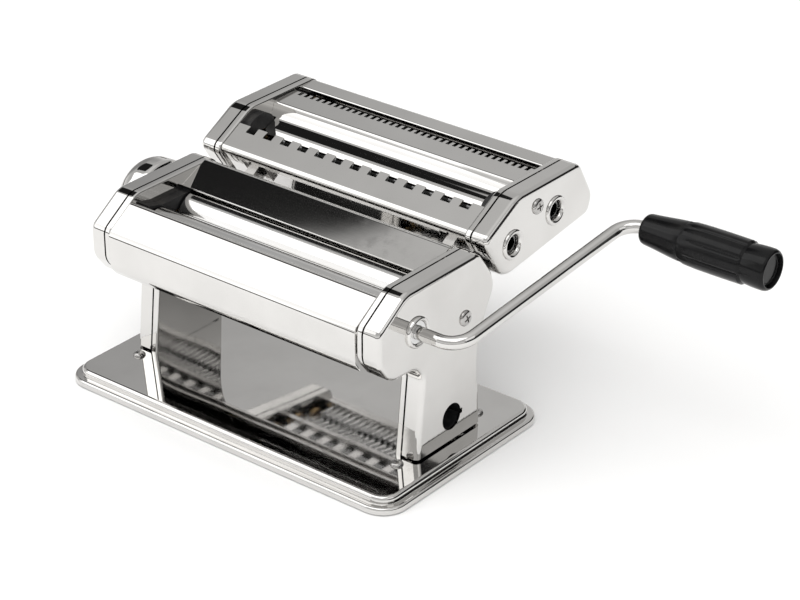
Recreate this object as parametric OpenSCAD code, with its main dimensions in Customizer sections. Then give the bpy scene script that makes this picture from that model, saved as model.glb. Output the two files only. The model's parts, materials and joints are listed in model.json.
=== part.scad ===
// Manual pasta machine with a lift-off cutting head.
// Origin: centre of the base's underside. +X towards the crank, -Y towards the front, +Z up.

/* [Housing] */
// Width over the two side covers
body_w = 190; // [186:1:196]
// Distance between the two inner side plates
throat_w = 162; // [160:0.5:162]
// Sheet thickness of the covers
sheet_t = 1.2; // [0.8:0.1:1.4]
// Thickness of the inner side plates
plate_t = 1.6; // [1.2:0.1:2]
// Height of the round holes in the legs above the table
leg_hole_z = 22.5; // [20:0.5:26]
// Radius of the round holes in the legs
leg_hole_r = 7.2; // [5:0.1:8]

/* [Base] */
// Width of the base over its rolled lip
base_w = 219; // [215:1:226]
// Depth of the base over its rolled lip
base_d = 128; // [124:1:134]
// Height of the base's top face
base_h = 8; // [7.5:0.1:8]
// Corner radius of the base
base_r = 14; // [8:1:20]

/* [Rollers] */
// Radius of the two smooth rollers
roller_r = 13.5; // [12.5:0.1:13.5]
// Working length of the smooth rollers
roller_len = 151; // [140:1:151]
// Gap between the smooth rollers at the thinnest setting
thin_gap = 0.6; // [0.4:0.1:1]
// Number of teeth on each smooth roller's gear
roller_teeth = 12; // [12:12:12]

/* [Cutting head] */
// Outer radius of the cutting rollers' discs
disc_r = 9.4; // [9:0.1:9.4]
// Radius of the cutting rollers between their discs
core_r = 6.6; // [6:0.1:6.6]
// Distance between the two cutting rollers of a pair
cutter_pitch = 16.4; // [16.4:0.1:16.6]
// Width of the wide ribbons
wide_cut = 5.9; // [5:0.1:6.5]
// Width of the fine ribbons
fine_cut = 2.1; // [2:0.05:2.5]

/* [Crank] */
// Radius of the crank's rod
rod_r = 3.5; // [3:0.1:3.5]
// Running clearance on a radius
fit_gap = 0.05; // [0.02:0.01:0.08]
// Distance of the grip from the crank's axis
crank_throw = 120.6; // [100:1:130]
// Bend radius of the rod
bend_r = 12; // [10:1:16]
// Length of the grip
grip_len = 73; // [65:1:80]
// Largest radius of the grip
grip_r = 11.3; // [10:0.1:12]

/* [Regulator] */
// Radius of the regulator knob
knob_r = 23; // [20:0.5:24]
// How far the knob pulls out
knob_pull = 5; // [4:0.5:5]

/* [Hidden] */
$fn = 48;

side_x = body_w / 2;
throat_x = throat_w / 2;
plate_x = throat_x + plate_t;
flange_x = throat_x + 3.4;
cover_x = flange_x + 1;
cavity_x = side_x - sheet_t;
roller_x = roller_len / 2;

axis_z = 81.7;
front_axis = [-23.6, axis_z];
rear_axis = [front_axis[0] + 2 * roller_r + thin_gap, axis_z];
journal_r = 6;
rear_journal_r = 5;
bush_r = 9;
gear_x0 = cover_x + 0.3;
gear_x1 = gear_x0 + 5.6;

// Outline of a cheek of the machine, as [y, z], anticlockwise from the foot's front corner.
cheek = [
    [-23.3, base_h], [28, base_h], [25.2, 50], [30.1, 65.1], [38.8, 82.2], [36.3, 90], [25.5, 105],
    [-32, 105], [-52.3, 91.2], [-52.3, 74.2], [-42.7, 61.5], [-24.3, 60.7], [-18.3, 54.2]
];
cheek_cuts = [0.6, 0.6, 8, 7, 3.6, 3, 4, 3.5, 3, 3, 5, 4, 3];

// Outline of a cheek of the cutting head, as [y, z], anticlockwise from its lowest corner.
head = [
    [50.2, 82.6], [117.4, 91.6], [120.8, 101.5], [108.6, 123.1], [55.8, 123.1], [28.6, 108.2], [44, 84.4]
];
head_cuts = [2.6, 3.4, 3.4, 4.5, 4, 5, 2.6];

// The cutting head lies on an incline: u runs along it, v stands square to it.
head_tilt = 8.2;
wide_axis = [52, 98.8];
fine_axis = [87.6, 104.2];
head_u = [cos(head_tilt), sin(head_tilt)];
wide_partner = wide_axis + head_u * cutter_pitch;
fine_partner = fine_axis + head_u * cutter_pitch;
cutter_journal_r = 4;
drive_journal_r = 5.5;
cutter_x = 76;
drive_end_x = cavity_x - 0.6;
socket_depth = 18;
key_w = 2;
key_r = 4.6;

// The head slides off along this direction; lift_n points from the machine to the head.
lift_angle = 123.1;
lift_n = [cos(lift_angle - 90), sin(lift_angle - 90)];
lift_s = [cos(lift_angle), sin(lift_angle)];

tie_points = [[-42, 72.5], [21.5, 59.5], [15.5, 98.5]];
tie_r = 3;
head_tie_points = [[39, 104.5], [78.5, 113.6]];
screw_r = 2;
post_screw_r = 1.5;

// Points for the screws that hold the covers of the machine and of the head.
right_post = [14.1, 73.5];
left_post = [2, 46];
right_head_post = [72.1, 112.2];
left_head_post = [66, 115.2];

// Half height of the blocks that carry the rear roller, and how far they slide.
block_h = 6.2;
gap_travel = 4.2;

// Distance from the origin to the head's front wall, and its foremost edge up the slope.
head_wall_n = 84.8;
head_fold_s = 74;

crank_angle = 12.16;
crank_bend_x = 119.7;
crank_lean = 14.3;
turn = atan2(crank_throw, crank_lean);
bend_cut = bend_r * tan(turn / 2);
grip_x0 = crank_bend_x + crank_lean + bend_cut + 0.4;

ring_x = side_x + 1.6;
knob_x = ring_x + 0.6;
knob_h = 18.6;
collar_x = knob_x + 9 + knob_pull;
pin_orbit = 15.5;

// ---- Outline helpers ----

function unit(v) = v / norm(v);
function left_of(e) = [-e[1], e[0]];
function wrap(list, i) = list[(i + len(list)) % len(list)];

// Corner q between p and r, rounded from a cut at distance d along each side.
function round_corner(p, q, r, d, steps) =
    let (s = q + unit(p - q) * d, e = q + unit(r - q) * d)
    [for (i = [0:steps]) let (t = i / steps) (1 - t) * (1 - t) * s + 2 * t * (1 - t) * q + t * t * e];

function rounded(points, cuts, steps = 4) = [
    for (i = [0:len(points) - 1])
        each round_corner(wrap(points, i - 1), points[i], wrap(points, i + 1), cuts[i], steps)
];

// A closed anticlockwise outline moved inwards by d.
function inset(points, d) = [
    for (i = [0:len(points) - 1])
        let (m = left_of(unit(points[i] - wrap(points, i - 1))))
        let (n = left_of(unit(wrap(points, i + 1) - points[i])))
        points[i] + (m + n) * d / (1 + m * n)
];

// The closed outline of a sheet of thickness t to the left of an open path.
function beside(path, t) = [
    for (i = [0:len(path) - 1])
        let (a = unit(path[max(i, 1)] - path[max(i, 1) - 1]))
        let (b = unit(path[min(i, len(path) - 2) + 1] - path[min(i, len(path) - 2)]))
        path[i] + (left_of(a) + left_of(b)) * t / (1 + a * b)
];
function sheet(path, t) = let (far = beside(path, t)) concat(path, [for (i = [len(far) - 1:-1:0]) far[i]]);

// A point given along the head's incline, u and v from an axis.
function head_point(axis, u, v) = axis + head_u * u + left_of(head_u) * v;

// A point given along the lift direction: n out of the machine, s up the slope.
function lift_point(n, s) = lift_n * n + lift_s * s;

// ---- Shape helpers ----

// An outline in [y, z] pulled along X from x0 to x1.
module slab(x0, x1, points) {
    translate([x0, 0, 0]) rotate([90, 0, 90]) linear_extrude(x1 - x0) polygon(points);
}

// A cylinder along X at a point [y, z].
module rod_x(x0, x1, r, at) {
    translate([x0, at[0], at[1]]) rotate([0, 90, 0]) cylinder(h = x1 - x0, r = r);
}

module mirror_left() {
    mirror([1, 0, 0]) children();
}

module both_sides() {
    children();
    mirror_left() children();
}

// A rounded rectangle about the origin.
module plan(w, d, r) {
    x = w / 2 - r;
    y = d / 2 - r;
    polygon([
        for (q = [0:3])
            for (a = [0:15:90])
                let (t = q * 90 + a)
                [(q == 0 || q == 3 ? x : -x) + r * cos(t), (q < 2 ? y : -y) + r * sin(t)]
    ]);
}

module plan_block(z0, z1, w, d, r) {
    translate([0, 0, z0]) linear_extrude(z1 - z0) plan(w, d, r);
}

// A spur gear along X: straight-flanked teeth with the first one at angle phase.
module gear(x0, x1, at, teeth, root, tip, root_w, tip_w, phase) {
    step = 360 / teeth;
    points = [
        for (i = [0:teeth - 1])
            for (c = [[root, -root_w], [tip, -tip_w], [tip, tip_w], [root, root_w]])
                let (a = phase + i * step + asin(c[1] / 2 / c[0]))
                [at[0] + c[0] * cos(a), at[1] + c[0] * sin(a)]
    ];
    slab(x0, x1, points);
}

// A drive socket along X: a round bore with a keyway turned to the crank's angle.
module drive_socket(end_x, at) {
    translate([end_x - socket_depth, at[0], at[1]]) rotate([crank_angle, 0, 0]) union() {
        rotate([0, 90, 0]) cylinder(h = socket_depth + 1, r = rod_r + 0.07);
        translate([0, 0, -key_w / 2 - 0.1]) cube([socket_depth + 1, key_r + 0.1, key_w + 0.2]);
    }
}

module flanged_bush(x0, x1, inner, outer, flange, at) {
    difference() {
        union() {
            rod_x(x0, x1, outer, at);
            rod_x(x0, x0 + 1.2, flange, at);
        }
        rod_x(x0 - 1, x1 + 1, inner, at);
    }
}

// ---- Base ----

module base_plate() {
    lip_z = 0.6;
    shoulder = 4;
    color("gainsboro") difference() {
        union() {
            plan_block(lip_z, 4, base_w, base_d, base_r);
            plan_block(3, base_h, base_w - 2 * shoulder, base_d - 2 * shoulder, base_r - shoulder);
        }
        plan_block(-1, 2.6, base_w - 2 * sheet_t, base_d - 2 * sheet_t, base_r - sheet_t);
        plan_block(
            0, base_h - 1.4, base_w - 2 * shoulder - 3, base_d - 2 * shoulder - 3, base_r - shoulder - 1.5
        );
        for (x = [-87.7, 87.7]) for (y = [-12, 16]) translate([x, y, 0]) cylinder(h = 20, r = screw_r);
        for (x = [-87.5, 87.5]) for (y = [-29.7, 34.5]) translate([x, y, 0]) cylinder(h = 20, r = screw_r);
    }
}

module base_mat() {
    color("dimgray") union() {
        plan_block(0, 1.6, base_w - 16, base_d - 16, base_r - 6);
        for (x = [-66, 0, 66]) for (y = [-36, 36]) {
            translate([x, y, 1]) cylinder(h = base_h - 2.4, r = 5);
        }
    }
}

module base_stiffeners() {
    color("silver") for (side = [-1, 1]) difference() {
        translate([side * 87.5 - 7, -38, base_h - 3.9]) cube([14, 80, 2.5]);
        for (y = [-12, 16]) translate([side * 87.7, y, 0]) cylinder(h = 20, r = screw_r);
        for (y = [-29.7, 34.5]) translate([side * 87.5, y, 0]) cylinder(h = 20, r = screw_r);
    }
}

// Domed screws that show on the base in front of and behind each leg.
module base_screws() {
    color("gainsboro") for (x = [-87.5, 87.5]) for (y = [-29.7, 34.5]) translate([x, y, 0]) union() {
        translate([0, 0, base_h - 5]) cylinder(h = 5.5, r = screw_r);
        translate([0, 0, base_h]) cylinder(h = 1.2, r = 3.4);
        translate([0, 0, base_h + 1.2]) cylinder(h = 0.8, r1 = 3.4, r2 = 1.8);
    }
}

module leg_screws() {
    color("silver") for (x = [-87.7, 87.7]) for (y = [-12, 16]) translate([x, y, 0]) union() {
        translate([0, 0, base_h - 5.5]) cylinder(h = 1.6, r = 3.4);
        translate([0, 0, base_h - 4]) cylinder(h = 6.4, r = screw_r);
    }
}

// ---- Cheeks of the machine ----

// The structural plate of one side: a flat web, a rim turned outwards and a foot.
module inner_plate() {
    outer = rounded(cheek, cheek_cuts);
    inner = rounded(inset(cheek, plate_t), cheek_cuts);
    difference() {
        union() {
            difference() {
                slab(throat_x, flange_x, outer);
                slab(plate_x, flange_x + 1, inner);
            }
            translate([throat_x, -20.5, base_h]) cube([12, 45.5, plate_t]);
        }
        rod_x(throat_x - 1, flange_x + 1, bush_r, front_axis);
        translate([throat_x - 1, rear_axis[0] - 8.1, axis_z - block_h - 0.1]) {
            cube([plate_t + 2, 16.2 + gap_travel + 0.2, 2 * block_h + 0.2]);
        }
        for (p = tie_points) rod_x(throat_x - 1, flange_x + 1, 1.6, p);
        for (y = [-12, 16]) translate([87.7, y, 0]) cylinder(h = 20, r = screw_r);
    }
}

module right_inner_plate() {
    color("silver") difference() {
        inner_plate();
        rod_x(throat_x - 1, flange_x, post_screw_r, right_post);
    }
}

module left_inner_plate() {
    color("silver") mirror_left() difference() {
        inner_plate();
        rod_x(throat_x - 1, flange_x, post_screw_r, left_post);
    }
}

// The polished pan over one side, open below where the plate's foot stands.
module cover_pan(outline, cuts) {
    difference() {
        union() {
            slab(cover_x, side_x - 1, rounded(outline, cuts));
            slab(side_x - 1.1, side_x, rounded(inset(outline, 0.7), cuts));
        }
        slab(cover_x - 1, cavity_x, rounded(inset(outline, sheet_t), cuts));
    }
}

module leg_hole(x0, x1) {
    union() {
        rod_x(x0, x1, leg_hole_r, [4, leg_hole_z]);
        translate([x0, 4, leg_hole_z - 1.4]) cube([x1 - x0, leg_hole_r + 1.3, 2.8]);
    }
}

module machine_cover() {
    difference() {
        cover_pan(cheek, cheek_cuts);
        translate([cover_x - 1, -21.5, 0]) cube([cavity_x - cover_x + 1, 47.6, 12]);
        leg_hole(cavity_x - 1, side_x + 1);
    }
}

module right_cover() {
    color("gainsboro") difference() {
        machine_cover();
        rod_x(cavity_x - 1, side_x + 1, 7.4, front_axis);
        rod_x(cavity_x - 1, side_x + 1, post_screw_r, right_post);
    }
}

module left_cover() {
    color("gainsboro") mirror_left() difference() {
        machine_cover();
        rod_x(cavity_x - 1, side_x + 1, 5, rear_axis);
        rod_x(cavity_x - 1, side_x + 1, post_screw_r, left_post);
    }
}

// Sleeves behind the holes in the legs.
module leg_sockets() {
    color("black") both_sides() difference() {
        rod_x(plate_x, cavity_x, leg_hole_r + 3, [4, leg_hole_z]);
        leg_hole(plate_x - 1, cavity_x + 1);
    }
}

module cover_post(at) {
    difference() {
        rod_x(plate_x, cavity_x, 2.4, at);
        rod_x(plate_x - 1, cavity_x + 1, post_screw_r, at);
    }
}

module cover_posts() {
    color("silver") union() {
        cover_post(right_post);
        mirror_left() cover_post(left_post);
    }
}

// A domed screw with a crossed recess, entering a side cover.
module side_screw(at) {
    difference() {
        union() {
            rod_x(side_x - 9, side_x + 0.2, post_screw_r, at);
            rod_x(side_x, side_x + 0.9, 4.2, at);
            translate([side_x + 0.9, at[0], at[1]]) rotate([0, 90, 0]) cylinder(h = 0.7, r1 = 4.2, r2 = 2.9);
        }
        translate([side_x + 0.6, at[0] - 2.1, at[1] - 0.45]) cube([2, 4.2, 0.9]);
        translate([side_x + 0.6, at[0] - 0.45, at[1] - 2.1]) cube([2, 0.9, 4.2]);
    }
}

module cover_screws() {
    color("gainsboro") union() {
        side_screw(right_post);
        mirror_left() side_screw(left_post);
    }
}

// ---- Sheets between the cheeks ----

module front_cover() {
    path = [[-29.5, 97.3], [-35.9, 101.9], [-53.6, 90.4], [-53.2, 71.2], [-49.5, 66.6]];
    color("gainsboro") slab(-throat_x, throat_x, sheet(path, 1));
}

module feed_tray() {
    path = [[22.2, 104.6], [19.4, 106], [1.5, 96.6]];
    color("gainsboro") slab(-throat_x, throat_x, sheet(path, 0.9));
}

module rear_cover() {
    top = lift_point(77, 73.5);
    bottom = lift_point(77, 49);
    path = [[25.5, 64], [29.5, 66.2], bottom, top];
    color("gainsboro") slab(-throat_x, throat_x, sheet(path, 0.9));
}

module tie_rods() {
    color("silver") for (p = tie_points) difference() {
        rod_x(-throat_x, throat_x, tie_r, p);
        for (x = [-throat_x - 1, throat_x - 7]) rod_x(x, x + 8, 1.6, p);
    }
}

module tie_screw(at) {
    union() {
        rod_x(throat_x - 6.5, plate_x + 0.2, 1.6, at);
        rod_x(plate_x, plate_x + 1.6, 3, at);
    }
}

module tie_screws() {
    color("silver") both_sides() for (p = tie_points) tie_screw(p);
}

// Two blades under the rollers, mirrored about the nip.
module scrapers() {
    front = [[-16.6, 69.6], [-22.2, 60.5]];
    rear = [[2.6, 60.5], [-3, 69.6]];
    color("gainsboro") for (path = [front, rear]) slab(-throat_x, throat_x, sheet(path, 1.2));
}

// Plastic plates that close the ends of the feed above the rollers' journals.
module roller_guards() {
    face = [[-30.5, 88.6], [13.5, 88.6], [11.5, 100.2], [2, 95.2], [-18, 95.2], [-28, 97.6]];
    back = [[-29, 93.2], [12.6, 93.2], [11.5, 100.2], [2, 95.2], [-18, 95.2], [-28, 97.6]];
    color("black") both_sides() union() {
        slab(roller_x + 0.8, throat_x - 1.8, face);
        slab(roller_x + 0.8, throat_x, back);
    }
}

// ---- Rollers of the machine ----

module roller_bushes() {
    color("darkgoldenrod") both_sides() {
        flanged_bush(throat_x - 1.2, flange_x, journal_r + fit_gap, bush_r, bush_r + 2, front_axis);
    }
}

// Flared ring round the crank's shaft on the outside of the right cover.
module crank_bush() {
    color("gainsboro") difference() {
        union() {
            rod_x(cavity_x - 0.6, side_x + 0.2, 7.4, front_axis);
            rod_x(side_x, side_x + 0.8, 8.2, front_axis);
            translate([side_x + 0.8, front_axis[0], axis_z]) rotate([0, 90, 0]) {
                cylinder(h = 1, r1 = 8.2, r2 = 7);
            }
        }
        rod_x(cavity_x - 2, side_x + 3, journal_r + fit_gap, front_axis);
    }
}

module front_roller() {
    color("gainsboro") difference() {
        union() {
            rod_x(-roller_x, roller_x, roller_r, front_axis);
            rod_x(-gear_x1 - 0.8, side_x + 0.6, journal_r, front_axis);
        }
        drive_socket(side_x + 0.6, front_axis);
    }
}

module roller_gear(at, phase) {
    color("dimgray") difference() {
        mirror_left() gear(gear_x0, gear_x1, at, roller_teeth, 10.4, 16.5, 4, 1.3, phase);
        rod_x(-gear_x1 - 1, -gear_x0 + 1, at == front_axis ? journal_r : rear_journal_r, at);
    }
}

module front_roller_gear() {
    roller_gear(front_axis, 0);
}

module rear_roller_gear() {
    roller_gear(rear_axis, 180 / roller_teeth);
}

// Sliding blocks that carry the rear roller's journals in the plates' windows.
module rear_bearing_blocks() {
    color("darkgoldenrod") both_sides() difference() {
        union() {
            translate([throat_x - 1.6, rear_axis[0] - 8, axis_z - block_h]) {
                cube([plate_t + 1.5, 16, 2 * block_h]);
            }
            translate([throat_x - 1.6, rear_axis[0] - 9, axis_z - block_h - 2]) {
                cube([1.5, 18, 2 * block_h + 4]);
            }
        }
        rod_x(throat_x - 3, plate_x + 2, rear_journal_r + fit_gap, rear_axis);
    }
}

module rear_roller() {
    color("gainsboro") union() {
        rod_x(-roller_x, roller_x, roller_r, rear_axis);
        rod_x(-gear_x1 - 0.6, plate_x + 0.8, rear_journal_r, rear_axis);
    }
}

// ---- Crank ----

module crank_rod() {
    arm_len = norm([crank_throw, crank_lean]) - 2 * bend_cut;
    lap = 0.2;
    thinning = 0.02;
    far_x = crank_bend_x + crank_lean;
    color("gainsboro") translate([0, front_axis[0], axis_z]) rotate([crank_angle, 0, 0]) union() {
        translate([side_x - 16, 0, 0]) {
            rotate([0, 90, 0]) cylinder(h = crank_bend_x - bend_cut - side_x + 16 + lap, r = rod_r);
            translate([0, 0, -key_w / 2]) cube([14, key_r, key_w]);
        }
        translate([crank_bend_x - bend_cut, bend_r, 0]) rotate([0, 0, -90]) {
            rotate_extrude(angle = turn) translate([bend_r, 0]) circle(r = rod_r - thinning);
        }
        translate([crank_bend_x, 0, 0]) rotate([0, 0, turn]) translate([bend_cut - lap, 0, 0]) {
            rotate([0, 90, 0]) cylinder(h = arm_len + 2 * lap, r = rod_r);
        }
        translate([far_x + bend_cut, crank_throw - bend_r, 0]) rotate([0, 0, 90]) {
            rotate_extrude(angle = turn) translate([bend_r, 0]) circle(r = rod_r - thinning);
        }
        translate([far_x + bend_cut - lap, crank_throw, 0]) rotate([0, 90, 0]) {
            cylinder(h = grip_len - 6 + lap, r = rod_r);
            translate([0, 0, grip_len - 7.5 + lap]) cylinder(h = 1.5, r = 5.4);
        }
    }
}

// Places a solid of revolution on the grip's axis, with its base at the grip's inner end.
module on_grip() {
    translate([0, front_axis[0], axis_z]) rotate([crank_angle, 0, 0]) {
        translate([grip_x0, crank_throw, 0]) rotate([0, 90, 0]) children();
    }
}

module grip() {
    bore = rod_r + fit_gap;
    color("black") on_grip() rotate_extrude() polygon([
        [bore, 0], [6.4, 0], [7.6, 1.2], [8.3, 8], [9.6, 17], [10.9, 24], [grip_r, 34], [grip_r, 56],
        [11.1, 62], [10.9, grip_len - 2], [9.9, grip_len - 0.4], [9.4, grip_len], [8.4, grip_len],
        [8.4, grip_len - 8], [bore, grip_len - 8]
    ]);
}

module grip_end_cap() {
    color("black") on_grip() translate([0, 0, grip_len - 5]) union() {
        cylinder(h = 3.4, r = 8.35);
        translate([0, 0, 3.4]) cylinder(h = 0.6, r1 = 8.35, r2 = 7.4);
    }
}

// ---- Regulator ----

// Polished ring with ten dimples round the regulator's shaft.
module index_ring() {
    color("gainsboro") mirror_left() difference() {
        rod_x(side_x, ring_x, pin_orbit + 3.5, rear_axis);
        rod_x(side_x - 1, ring_x + 1, 9, rear_axis);
        for (i = [0:9]) {
            a = 90 + i * 30;
            rod_x(ring_x - 0.8, ring_x + 1, 1.6, rear_axis + pin_orbit * [cos(a), sin(a)]);
        }
    }
}

module regulator_shaft() {
    color("silver") mirror_left() union() {
        rod_x(cavity_x - 1.4, cavity_x - fit_gap, 7.5, rear_axis);
        rod_x(cavity_x - 1.4, side_x + 1, 5 - fit_gap, rear_axis);
        rod_x(side_x + fit_gap, side_x + 1.4, 8, rear_axis);
        rod_x(side_x + 1, collar_x + 1, 4, rear_axis);
        rod_x(collar_x, collar_x + 1, 5.4, rear_axis);
    }
}

// Domed knob: a shell with a guide wall inside that slides on the shaft.
module regulator_knob() {
    color("gainsboro") mirror_left() translate([knob_x, rear_axis[0], axis_z]) {
        rotate([0, 90, 0]) rotate_extrude() polygon([
            [knob_r - 3, 0], [knob_r - 0.6, 0], [knob_r, 1.4],
            for (a = [0:10:80]) [12 + (knob_r - 12) * cos(a), 7 + (knob_h - 7) * sin(a)],
            [12, knob_h], [8, knob_h - 0.4], [0, knob_h - 0.4], [0, knob_h - 1.8], [9, knob_h - 2],
            for (a = [80:-10:0]) [10.5 + (knob_r - 12.6) * cos(a), 6.6 + (knob_h - 8.4) * sin(a)],
            [knob_r - 2.1, 4.6], [4 + fit_gap, 4.6], [4 + fit_gap, 2.6], [knob_r - 3, 2.6]
        ]);
    }
}

module index_pin() {
    color("silver") mirror_left() rod_x(ring_x + 0.3, knob_x + 2.6, 1.4, rear_axis + [0, pin_orbit]);
}

// A compression spring from the knob's guide wall to the shaft's outer collar.
module knob_spring() {
    turns = 4;
    steps = 12;
    wire = 0.4;
    coil = 4.9;
    x0 = knob_x + 4.6 + wire;
    x1 = collar_x - wire;
    rings = turns * steps;
    points = [
        for (i = [0:rings])
            let (a = i * 360 / steps, x = x0 + (x1 - x0) * i / rings)
            for (k = [0:7])
                let (r = coil + wire * cos(k * 45))
                [x + wire * sin(k * 45), rear_axis[0] + r * cos(a), axis_z + r * sin(a)]
    ];
    sides = [
        for (i = [0:rings - 1])
            for (k = [0:7])
                let (n = (k + 1) % 8)
                [i * 8 + k, i * 8 + n, (i + 1) * 8 + n, (i + 1) * 8 + k]
    ];
    ends = [[for (k = [7:-1:0]) k], [for (k = [0:7]) rings * 8 + k]];
    color("gray") mirror_left() polyhedron(points, concat(sides, ends));
}

// ---- Cutting head: cheeks ----

module head_plate() {
    difference() {
        slab(throat_x, flange_x, rounded(head, head_cuts));
        slab(plate_x, flange_x + 1, rounded(inset(head, plate_t), head_cuts));
        for (p = [wide_axis, fine_axis]) rod_x(throat_x - 1, flange_x + 1, 7, p);
        for (p = [wide_partner, fine_partner]) rod_x(throat_x - 1, flange_x + 1, 6, p);
        for (p = head_tie_points) rod_x(throat_x - 1, flange_x + 1, 1.6, p);
    }
}

module cutter_right_inner_plate() {
    color("silver") difference() {
        head_plate();
        rod_x(throat_x - 1, flange_x, post_screw_r, right_head_post);
    }
}

module cutter_left_inner_plate() {
    color("silver") mirror_left() difference() {
        head_plate();
        rod_x(throat_x - 1, flange_x, post_screw_r, left_head_post);
    }
}

module cutter_right_cover() {
    color("gainsboro") difference() {
        cover_pan(head, head_cuts);
        for (p = [wide_axis, fine_axis]) rod_x(cavity_x - 1, side_x + 1, 7, p);
        rod_x(cavity_x - 1, side_x + 1, post_screw_r, right_head_post);
    }
}

module cutter_left_cover() {
    color("gainsboro") mirror_left() difference() {
        cover_pan(head, head_cuts);
        rod_x(cavity_x - 1, side_x + 1, post_screw_r, left_head_post);
    }
}

module cutter_cover_posts() {
    color("silver") union() {
        cover_post(right_head_post);
        mirror_left() cover_post(left_head_post);
    }
}

module cutter_cover_screws() {
    color("gainsboro") union() {
        side_screw(right_head_post);
        mirror_left() side_screw(left_head_post);
    }
}

// ---- Cutting head: sheets ----

module cutter_front_plate() {
    fold = lift_point(head_wall_n, head_fold_s);
    edge = [46.9, 117.2];
    path = [edge, fold, lift_point(head_wall_n, head_fold_s - 20)];
    notch = 2 * wide_cut;
    color("gainsboro") difference() {
        slab(-throat_x, throat_x, sheet(path, 1));
        for (i = [-6:6]) translate([i * notch - wide_cut / 2, edge[0] - 3, edge[1] - 4]) {
            cube([wide_cut, 8, 8]);
        }
    }
}

// Top of the head between the troughs. It runs down over the rear wide roller as a guide.
module cutter_mid_plate() {
    notch = 2 * fine_cut;
    guide = [for (a = [100:8:140]) wide_partner + (disc_r + 1.5) * [cos(a), sin(a)]];
    path = concat([[91.4, 120.8], [74.2, 120.4], [72.9, 116.2], [70, 112.9]], guide);
    color("gainsboro") difference() {
        slab(-throat_x, throat_x, sheet(path, 0.9));
        for (i = [-18:18]) translate([i * notch - fine_cut / 2, 89, 117]) cube([fine_cut, 6, 6]);
        both_sides() translate([cutter_x + 0.5, 55, 104]) cube([9, 15.4, 15.6]);
    }
}

module cutter_rear_plate() {
    path = [[116.6, 95.8], [119.6, 101.3], [107.2, 122.3], [96.8, 121.4], [96.4, 118]];
    color("gainsboro") slab(-throat_x, throat_x, sheet(path, 0.9));
}

module cutter_tie_rods() {
    color("silver") for (p = head_tie_points) difference() {
        rod_x(-throat_x, throat_x, 2.6, p);
        for (x = [-throat_x - 1, throat_x - 7]) rod_x(x, x + 8, 1.6, p);
    }
}

module cutter_tie_screws() {
    color("silver") both_sides() for (p = head_tie_points) tie_screw(p);
}

// Dark end plates that close the two troughs beside the cheeks.
module cutter_guards() {
    color("black") both_sides() {
        slab(cutter_x + 0.6, throat_x, [
            [47, 110.3], [69, 110.3], for (a = [20:20:160]) [58.8 + 10.4 * cos(a), 112 + 7.2 * sin(a)]
        ]);
        slab(cutter_x + 0.6, throat_x, [[88.5, 114.7], [95.8, 115.6], [95.4, 119], [90, 119]]);
    }
}

// ---- Fitting between the machine and the head ----

// A bar along the slope: x range, n range and s range.
module lift_bar(x0, x1, n0, n1, s0, s1) {
    slab(x0, x1, [lift_point(n0, s0), lift_point(n1, s0), lift_point(n1, s1), lift_point(n0, s1)]);
}

module cutter_rails() {
    color("silver") both_sides() difference() {
        lift_bar(58, 74, 77, 81.6, 50, 62);
        lift_bar(59.2, 72.8, 78.2, 80.4, 52, 63);
        lift_bar(62.5, 69.5, 80, 82, 49, 63);
    }
}

module cutter_hooks() {
    color("silver") both_sides() union() {
        lift_bar(59.5, 72.5, 78.4, 80.2, 52.05, 60.5);
        lift_bar(63, 69, 80.1, head_wall_n, 52.05, 60.5);
    }
}

// ---- Cutting rollers ----

// A roller of discs with grooves between them. start is the first disc's left edge.
module disc_roller(at, cut, start, count) {
    disc = cut - 0.2;
    color("gainsboro") translate([0, at[0], at[1]]) rotate([0, 90, 0]) rotate_extrude() polygon([
        [0, -cutter_x], [core_r, -cutter_x],
        for (i = [0:count - 1])
            let (x = start + i * 2 * cut)
            each [[core_r, x], [disc_r, x], [disc_r, x + disc], [core_r, x + disc]],
        [core_r, cutter_x], [0, cutter_x]
    ]);
}

module roller_ends(at, right_r, right_x) {
    color("gainsboro") union() {
        rod_x(-gear_x1 - 0.6, -cutter_x, cutter_journal_r, at);
        rod_x(cutter_x, right_x, right_r, at);
    }
}

module driven_roller(at, cut, start, count) {
    difference() {
        union() {
            disc_roller(at, cut, start, count);
            roller_ends(at, drive_journal_r, drive_end_x);
        }
        drive_socket(drive_end_x, at);
    }
}

module partner_roller(at, cut, start, count) {
    union() {
        disc_roller(at, cut, start, count);
        roller_ends(at, cutter_journal_r, flange_x);
    }
}

wide_start = -12.5 * wide_cut + 0.1;
fine_start = -35.5 * fine_cut + 0.1;

module wide_roller_front() {
    driven_roller(wide_axis, wide_cut, wide_start, 13);
}

module wide_roller_rear() {
    partner_roller(wide_partner, wide_cut, wide_start + wide_cut, 12);
}

module fine_roller_front() {
    driven_roller(fine_axis, fine_cut, fine_start, 36);
}

module fine_roller_rear() {
    partner_roller(fine_partner, fine_cut, fine_start + fine_cut, 35);
}

module cutter_gear(at, phase) {
    difference() {
        mirror_left() gear(gear_x0, gear_x1, at, 10, core_r - 0.1, disc_r, 3, 1.1, phase);
        rod_x(-gear_x1 - 1, -gear_x0 + 1, cutter_journal_r, at);
    }
}

module wide_gear_front() {
    color("dimgray") cutter_gear(wide_axis, head_tilt);
}

module wide_gear_rear() {
    color("dimgray") cutter_gear(wide_partner, head_tilt + 18);
}

module fine_gear_front() {
    color("dimgray") cutter_gear(fine_axis, head_tilt);
}

module fine_gear_rear() {
    color("dimgray") cutter_gear(fine_partner, head_tilt + 18);
}

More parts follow.
